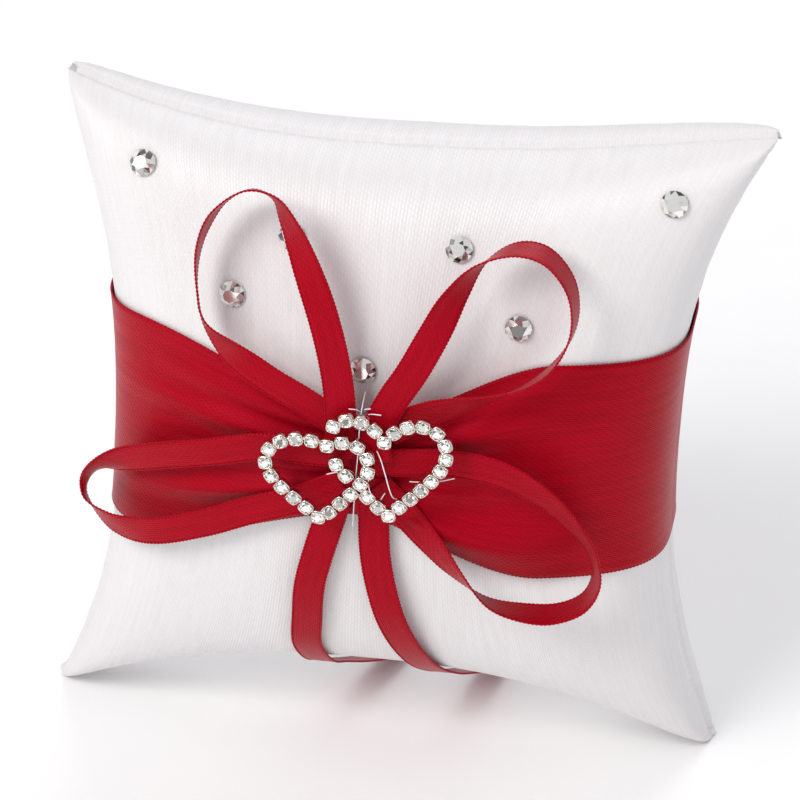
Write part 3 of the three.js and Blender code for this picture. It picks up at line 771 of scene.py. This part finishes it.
# Each strand: stations across, out from the crown of the cover, and up.
THREAD_STRANDS = [
    [(-1.4, 1.4, 93.6), (-1.5, 4.2, 91.8), (-1.7, 5.85, 88.6), (-2.1, 5.85, 82), (-2.6, 5.85, 76),
     (-3.1, 5.85, 68), (-3.6, 4.2, 64), (-4, 1.4, 61.6)],
    [(6, 5.6, 72), (5.2, 7.4, 73.4), (4.6, 8.4, 76), (3.8, 8.2, 79), (2.6, 6.8, 81.6), (1.6, 5.4, 82.6)],
    [(3.2, 5.4, 73), (2.2, 7.2, 72), (1, 7.8, 73.6), (0.2, 7.2, 76), (0.4, 5.6, 78)],
    [(8, 4.4, 75.6), (11, 5.4, 76.4), (14, 5.2, 76.8), (17, 4.2, 77.2)],
    [(-8.6, 5.2, 76), (-6, 6.4, 77.4), (-3.4, 6.8, 76.8), (-1.4, 5.6, 74.8)],
    [(-1.6, 4.4, 90.4), (-2.4, 5.8, 91.8), (-3.8, 6.4, 92.2)],
    [(-1, 4.4, 90.6), (-0.6, 6, 92.2), (0.6, 6.6, 92.8)],
    [(-0.8, 4.4, 90), (0.8, 5.6, 91), (2.6, 6, 91.2)],
]


def thread_place(stations):
    """Points in the frame from stations counted from the crown of the cover."""
    across, out, up = np.array(stations, float).T * MM
    return np.stack([across, -HALF_THICKNESS - out, up], -1) + COVER_MIDDLE


strand_lines = [curve_through(thread_place(stations), 0.25 * MM) for stations in THREAD_STRANDS]
strands = [tube(line, NYLON_DIAMETER / 2, 6) for line in strand_lines]
gathering_thread = make_piece("gathering_stitches", *joined(*strands))
gathering_thread.data.materials.append(clear_nylon)
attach(gathering_thread, BODY)
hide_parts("gathering_thread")


# ---- setting of the two hearts ----
# Cup chain bent into two hearts and soldered where they cross: square cast cups joined by
# short links, each with four prongs bent over its stone. Silver-plated, a little warm.
STONE_RADIUS = 1.2 * MM
CUP_HALF_WIDTH = 1.46 * MM
CUP_HEIGHT = 1.75 * MM
GIRDLE_HEIGHT = 1.5 * MM  # setting's back to the stone's widest line
PRONG_RADIUS = 0.27 * MM
LINK_RADIUS = 0.42 * MM
LINK_REACH = 4.2 * MM
# Half section of a cup, from its middle underneath over the rim to its middle inside:
# shares of the half width and of the height.
CUP_SECTION = [
    (0, 0), (0.78, 0), (0.93, 0.1), (1, 0.35), (1, 0.72),
    (0.95, 0.86), (0.86, 0.86), (0.8, 0.7), (0.45, 0.42), (0, 0.4),
]


def stone_places(side):
    """Middle of each heart stone's place on the setting, and its heart's direction there."""
    names = sorted(name for name in frame["nodes"] if name.startswith(f"heart_stone_{side}_"))
    boxes = np.array([[list(corner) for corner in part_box(name)] for name in names])
    middles = boxes.mean(axis=1)
    along = np.roll(middles, -1, axis=0) - np.roll(middles, 1, axis=0)
    return names, middles[:, [0, 2]], np.arctan2(along[:, 2], along[:, 0])


def on_setting(points, place, turn):
    """Points drawn flat, with z out of the setting, turned about z and set at a place on it."""
    x = points[..., 0] * math.cos(turn) - points[..., 1] * math.sin(turn) + place[0]
    up = points[..., 0] * math.sin(turn) + points[..., 1] * math.cos(turn) + place[1]
    return np.stack([x, ORNAMENT_BACK + COVER_MIDDLE[1] - points[..., 2], up], -1)


def cup_part():
    """One cup: its half section carried round a square with rounded sides, whose radius is the
    half width over the fourth root of cos to the fourth plus sin to the fourth."""
    angle = np.linspace(0, 2 * np.pi, 16, endpoint=False)
    square = (np.cos(angle) ** 4 + np.sin(angle) ** 4) ** -0.25
    out, up = np.array(CUP_SECTION).T
    radius = CUP_HALF_WIDTH * out[:, None] * np.where(out[:, None] > 0.82, square, 1 + 0.6 * (square - 1))
    height = np.broadcast_to(CUP_HEIGHT * up[:, None], radius.shape)
    points = np.stack([radius * np.cos(angle), radius * np.sin(angle), height], -1)[1:-1]
    rings = len(points)
    number = np.arange(rings * len(angle)).reshape(rings, -1)
    after = np.roll(number, -1, axis=1)
    walls = np.stack([number[:-1], after[:-1], after[1:], number[1:]], -1).reshape(-1, 4)
    fan = [[0, i, i + 1, i + 2] for i in range(1, len(angle) - 1, 2)]
    points = points.reshape(-1, 3)
    faces = outward(points, np.concatenate([walls, number[0][fan][:, ::-1], number[-1][fan]]))
    return points, faces, points[:, :2]


def prong_part(turn):
    """One prong: a short tapered wire up the cup's corner, whose end is a bead that leans in
    over the stone."""
    rise = np.array([0.3, 0.8, 1.15, 1.42, 1.62, 1.78, 1.9, 1.96]) * MM
    lean = np.array([1.52, 1.52, 1.46, 1.36, 1.24, 1.14, 1.06, 1.0]) * MM
    radius = PRONG_RADIUS * np.array([0.8, 0.85, 0.9, 1, 1.1, 1.05, 0.75, 0.25])
    line = np.stack([lean * math.cos(turn), lean * math.sin(turn), rise], -1)
    return tube(line, radius, 8)


def link_part(length):
    """One link between two cups: a low bar with rounded ends."""
    share = np.linspace(-0.5, 0.5, 5)
    line = np.stack([share * length, 0 * share, 0 * share + LINK_RADIUS + 0.1 * MM], -1)
    return tube(line, LINK_RADIUS, 8)


setting_parts = []
hearts = {side: stone_places(side) for side in ("left", "right")}
for names, middles, turns in hearts.values():
    for place, turn in zip(middles, turns):
        for points, faces, uv in [cup_part(), *(prong_part(math.pi * (0.25 + 0.5 * k)) for k in range(4))]:
            setting_parts.append((on_setting(points, place, turn), faces, uv))
    for place, after in zip(middles, np.roll(middles, -1, axis=0)):
        reach = after - place
        gap = np.linalg.norm(reach)
        points, faces, uv = link_part(gap)
        middle = (place + after) / 2
        if gap < LINK_REACH:
            setting_parts.append((on_setting(points, middle, math.atan2(reach[1], reach[0])), faces, uv))
heart_setting = make_piece("double_heart_setting", *joined(*setting_parts))
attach(heart_setting, BODY)


def silver_plate():
    """Bright silver plate over cast brass: warm in scattered patches, finely pitted by casting."""
    material = bpy.data.materials.new("silver plate")
    material.use_nodes = True
    tree = material.node_tree
    place = wired(tree, "ShaderNodeTexCoord", {}).outputs["Object"]
    cloud = wired(tree, "ShaderNodeTexNoise", {"Vector": place, "Scale": 700.0, "Detail": 3.0}).outputs["Fac"]
    pits = wired(tree, "ShaderNodeTexNoise", {"Vector": place, "Scale": 4500.0}).outputs["Fac"]
    colour = wired(
        tree,
        "ShaderNodeMix",
        {6: (0.62, 0.55, 0.44, 1), 7: (0.93, 0.91, 0.87, 1), "Factor": cloud},
        data_type="RGBA",
    )
    shader = tree.nodes["Principled BSDF"]
    bump = wired(tree, "ShaderNodeBump", {"Height": pits, "Strength": 0.25, "Distance": 0.05 * MM})
    tree.links.new(colour.outputs[2], shader.inputs["Base Color"])
    tree.links.new(bump.outputs["Normal"], shader.inputs["Normal"])
    tree.links.new(sum_node(tree, "MULTIPLY_ADD", cloud, 0.25, 0.08), shader.inputs["Roughness"])
    shader.inputs["Metallic"].default_value = 1
    return material


heart_setting.data.materials.append(silver_plate())
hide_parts("double_heart_frame")


# ---- heart stones ----
# Small glass brilliants with foiled backs, each dropped into its cup and held by the prongs.
STONE_TABLE = 0.56  # share of the girdle's radius
STONE_CROWN = 0.34 * MM
STONE_DEPTH = 0.75 * MM


def brilliant(radius, crown, depth, table):
    """Cut stone, z up from its girdle: a table of eight sides, eight star facets, eight kites
    and sixteen girdle facets, a thin girdle, and a back of eight facets down to its point.
    Gives points, triangles and the number of the facet that each triangle belongs to."""
    eighth = np.arange(8) * np.pi / 4

    def ring(angle, share, height):
        across, up = radius * share * np.cos(angle), radius * share * np.sin(angle)
        return np.stack([across, up, height + 0 * angle], -1)

    sixteenth = np.arange(16) * np.pi / 8
    points = np.concatenate(
        [
            ring(eighth, table, crown),
            ring(eighth + np.pi / 8, (1 + 1.35 * table) / 2.2, 0.55 * crown),
            ring(sixteenth, 1, 0.04 * crown),
            ring(sixteenth, 1, -0.1 * crown),
            [[0, 0, crown], [0, 0, -depth]],
        ]
    )
    i = np.arange(8)
    after, before = (i + 1) % 8, (i - 1) % 8
    girdle, below = 16, 32
    tip, bottom = 48, 49
    even, odd, next_even = girdle + 2 * i, girdle + 2 * i + 1, girdle + (2 * i + 2) % 16
    table_part = np.stack([i, after, np.full(8, tip)], -1)
    star = np.stack([i, 8 + i, after], -1)
    kite = np.concatenate([np.stack([i, 8 + before, even], -1), np.stack([i, even, 8 + i], -1)])
    upper = np.concatenate([np.stack([8 + i, even, odd], -1), np.stack([8 + i, odd, next_even], -1)])
    j = np.arange(16)
    wall = np.concatenate(
        [
            np.stack([girdle + j, below + j, below + (j + 1) % 16], -1),
            np.stack([girdle + j, below + (j + 1) % 16, girdle + (j + 1) % 16], -1),
        ]
    )
    back = np.stack([below + j, np.full(16, bottom), below + (j + 1) % 16], -1)
    faces = np.concatenate([table_part, star, kite, upper, wall, back])
    numbers = np.concatenate(
        [np.zeros(8), 1 + i, 9 + i, 9 + i, 17 + 2 * i, 18 + 2 * i, np.full(32, 33), 34 + j // 2]
    )
    return points, outward(points, faces), numbers.astype(int)


def faceted_piece(name, points, faces, facets, seed):
    """Stone with flat facets and a painted brightness for each facet, a painted reflection of
    its foil and its setting, kept in the attribute painted_facet_reflection."""
    piece = make_piece(name, points, faces, points[:, :2], smooth=False)
    # A random painted reflection brightness for each facet.
    light = np.random.default_rng(seed).uniform(0, 1, facets.max() + 1)
    shine = piece.data.attributes.new("painted_facet_reflection", "FLOAT", "FACE")
    shine.data.foreach_set("value", light[facets].astype(np.float32))
    return piece


def foiled_glass(name, dark, light):
    """Clear glass over foil: bright and dark facets painted by the attribute painted_facet_reflection as
    painted reflections of the foil and the setting, under a smooth coat."""
    material = bpy.data.materials.new(name)
    material.use_nodes = True
    tree = material.node_tree
    facet = wired(tree, "ShaderNodeAttribute", {}, attribute_name="painted_facet_reflection").outputs["Fac"]
    ramp = wired(tree, "ShaderNodeValToRGB", {"Fac": facet})
    ramp.color_ramp.elements[0].color = dark
    ramp.color_ramp.elements[0].position = 0.05
    ramp.color_ramp.elements[1].color = light
    ramp.color_ramp.elements[1].position = 0.6
    shader = tree.nodes["Principled BSDF"]
    tree.links.new(ramp.outputs["Color"], shader.inputs["Base Color"])
    tree.links.new(sum_node(tree, "MULTIPLY_ADD", facet, 0.12, 0.04), shader.inputs["Roughness"])
    shader.inputs["Metallic"].default_value = 0.75
    shader.inputs["Coat Weight"].default_value = 1
    shader.inputs["Coat Roughness"].default_value = 0.02
    return material


# The two colours are the painted reflections on the facets: a painted dark reflection and a painted bright
# one.
heart_glass = foiled_glass("foiled brilliant glass", (0.16, 0.14, 0.12, 1), (0.97, 0.98, 0.97, 1))
for side, (names, middles, turns) in hearts.items():
    for i, (node_name, place, turn) in enumerate(zip(names, middles, turns)):
        points, faces, facets = brilliant(STONE_RADIUS, STONE_CROWN, STONE_DEPTH, STONE_TABLE)
        points = on_setting(points + [0, 0, GIRDLE_HEIGHT], place, turn + 0.35 * i)
        stone = faceted_piece(node_name.replace("heart_stone", "brilliant"), points, faces, facets, seed=i)
        stone.data.materials.append(heart_glass)
        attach(stone, BODY)
        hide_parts(node_name)


# ---- flat-backed stones ----
# Foil-backed glass stones glued here and there to the front of the cover. Each lies square to
# the cloth under it, in a thin ring of clear glue.
FLAT_STONE_RADIUS = 2.7 * MM
FLAT_STONE_CROWN = 1.55 * MM
FLAT_STONE_BASE = 0.45 * MM
FLAT_STONE_LIFT = 0.15 * MM
# Shares of the way from the middle of the cover to its sides, across and up.
FLAT_STONE_PLACES = [
    (-0.54, 0.7), (-0.34, 0.4), (-0.04, 0.26), (0.12, 0.59), (0.28, 0.37), (0.56, 0.68), (-0.2, 0.59),
]


def on_cover(points, s, t, distance):
    """Points drawn flat, z outward, stood on the front of the cover at s and t."""
    s, t = np.float64(s), np.float64(t)
    normal = cover_normal(share_of(s), share_of(t), -1)
    across = np.cross([0, 0, 1], normal)
    across /= np.linalg.norm(across)
    up = np.cross(normal, across)
    foot = cover_point(s, t, -1, distance + cover_relief(s, t, -1))
    return foot + points @ np.stack([across, up, normal])


# The two colours are the painted reflections on the facets: a painted dark reflection and a painted bright
# one.
flat_back_glass = foiled_glass("foiled flat-back glass", (0.06, 0.055, 0.05, 1), (0.95, 0.94, 0.9, 1))
for i, (s, t) in enumerate(FLAT_STONE_PLACES):
    points, faces, facets = brilliant(FLAT_STONE_RADIUS, FLAT_STONE_CROWN, FLAT_STONE_BASE, 0.5)
    points[:, 2] = np.maximum(points[:, 2], -FLAT_STONE_BASE) + FLAT_STONE_BASE
    points = on_cover(points, s, t, FLAT_STONE_LIFT)
    stone = faceted_piece(f"flat_back_crystal_{i + 1}", points, faces, facets, seed=40 + i)
    stone.data.materials.append(flat_back_glass)
    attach(stone, BODY)
    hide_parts(f"flat_back_stone_{i + 1}")


# ---- table, light and camera ----
# A plain pale table under a soft studio sky: one large soft light from the left above, a
# weaker one from the right, and a slim one from behind for the top edge.
def pale_table():
    """Matt pale paper with a faint fibre mottle."""
    material = bpy.data.materials.new("pale table")
    material.use_nodes = True
    tree = material.node_tree
    place = wired(tree, "ShaderNodeTexCoord", {}).outputs["Object"]
    fibre = wired(tree, "ShaderNodeTexNoise", {"Vector": place, "Scale": 60.0}).outputs["Fac"]
    colour = wired(
        tree,
        "ShaderNodeMix",
        {6: (0.95, 0.948, 0.945, 1), 7: (0.97, 0.969, 0.967, 1), "Factor": fibre},
        data_type="RGBA",
    )
    shader = tree.nodes["Principled BSDF"]
    tree.links.new(colour.outputs[2], shader.inputs["Base Color"])
    shader.inputs["Roughness"].default_value = 0.9
    return material


TABLE_HALF = 3.0
TABLE_DROP = 0.1 * MM  # under the feet, so that no two faces lie together
table_corners = np.array([[-1, -1, 0], [1, -1, 0], [1, 1, 0], [-1, 1, 0]], float) * TABLE_HALF
table_corners[:, 2] = -TABLE_DROP
table = make_piece("table", table_corners, np.array([[0, 1, 2, 3]]), table_corners[:, :2])
table.data.materials.append(pale_table())

studio = bpy.data.worlds.new("studio")
bpy.context.scene.world = studio
studio.use_nodes = True
sky = studio.node_tree.nodes["Background"]
sky.inputs["Color"].default_value = (0.95, 0.96, 1.0, 1)
sky.inputs["Strength"].default_value = 0.62
bpy.context.scene.view_settings.view_transform = "Standard"


def soft_light(name, place, aim, size, power, colour):
    """Square area light at a place, turned to face a point."""
    data = bpy.data.lights.new(name, "AREA")
    data.size, data.energy, data.color = size, power, colour
    light = bpy.data.objects.new(name, data)
    bpy.context.scene.collection.objects.link(light)
    towards = np.asarray(aim, float) - place
    light.location = place
    light.rotation_euler = Vector(towards).to_track_quat("-Z", "Y").to_euler()


soft_light("key", (-0.55, -0.75, 0.9), (0, 0, 0.07), 0.5, 8.5, (1, 0.98, 0.95))
soft_light("fill", (0.9, -0.8, 0.5), (0, 0, 0.07), 0.8, 1.1, (0.98, 0.98, 1))
soft_light("back", (0.1, 0.9, 0.9), (0, 0, 0.1), 0.6, 3.6, (1, 1, 1))

VIEW_AZIMUTH = math.radians(10.4)  # to the viewer's right of straight ahead
VIEW_ELEVATION = math.radians(30.2)
VIEW_DISTANCE = 0.85
VIEW_TARGET = Vector(COVER_MIDDLE) + Vector((0, 0, 0.0746))
lens = bpy.data.cameras.new("camera")
lens.sensor_width = 36
lens.lens = 186.35
camera = bpy.data.objects.new("camera", lens)
bpy.context.scene.collection.objects.link(camera)
towards_camera = Vector(
    (
        math.sin(VIEW_AZIMUTH) * math.cos(VIEW_ELEVATION),
        -math.cos(VIEW_AZIMUTH) * math.cos(VIEW_ELEVATION),
        math.sin(VIEW_ELEVATION),
    )
)
camera.location = VIEW_TARGET + VIEW_DISTANCE * towards_camera
camera.rotation_euler = (-towards_camera).to_track_quat("-Z", "Y").to_euler()
bpy.context.scene.camera = camera
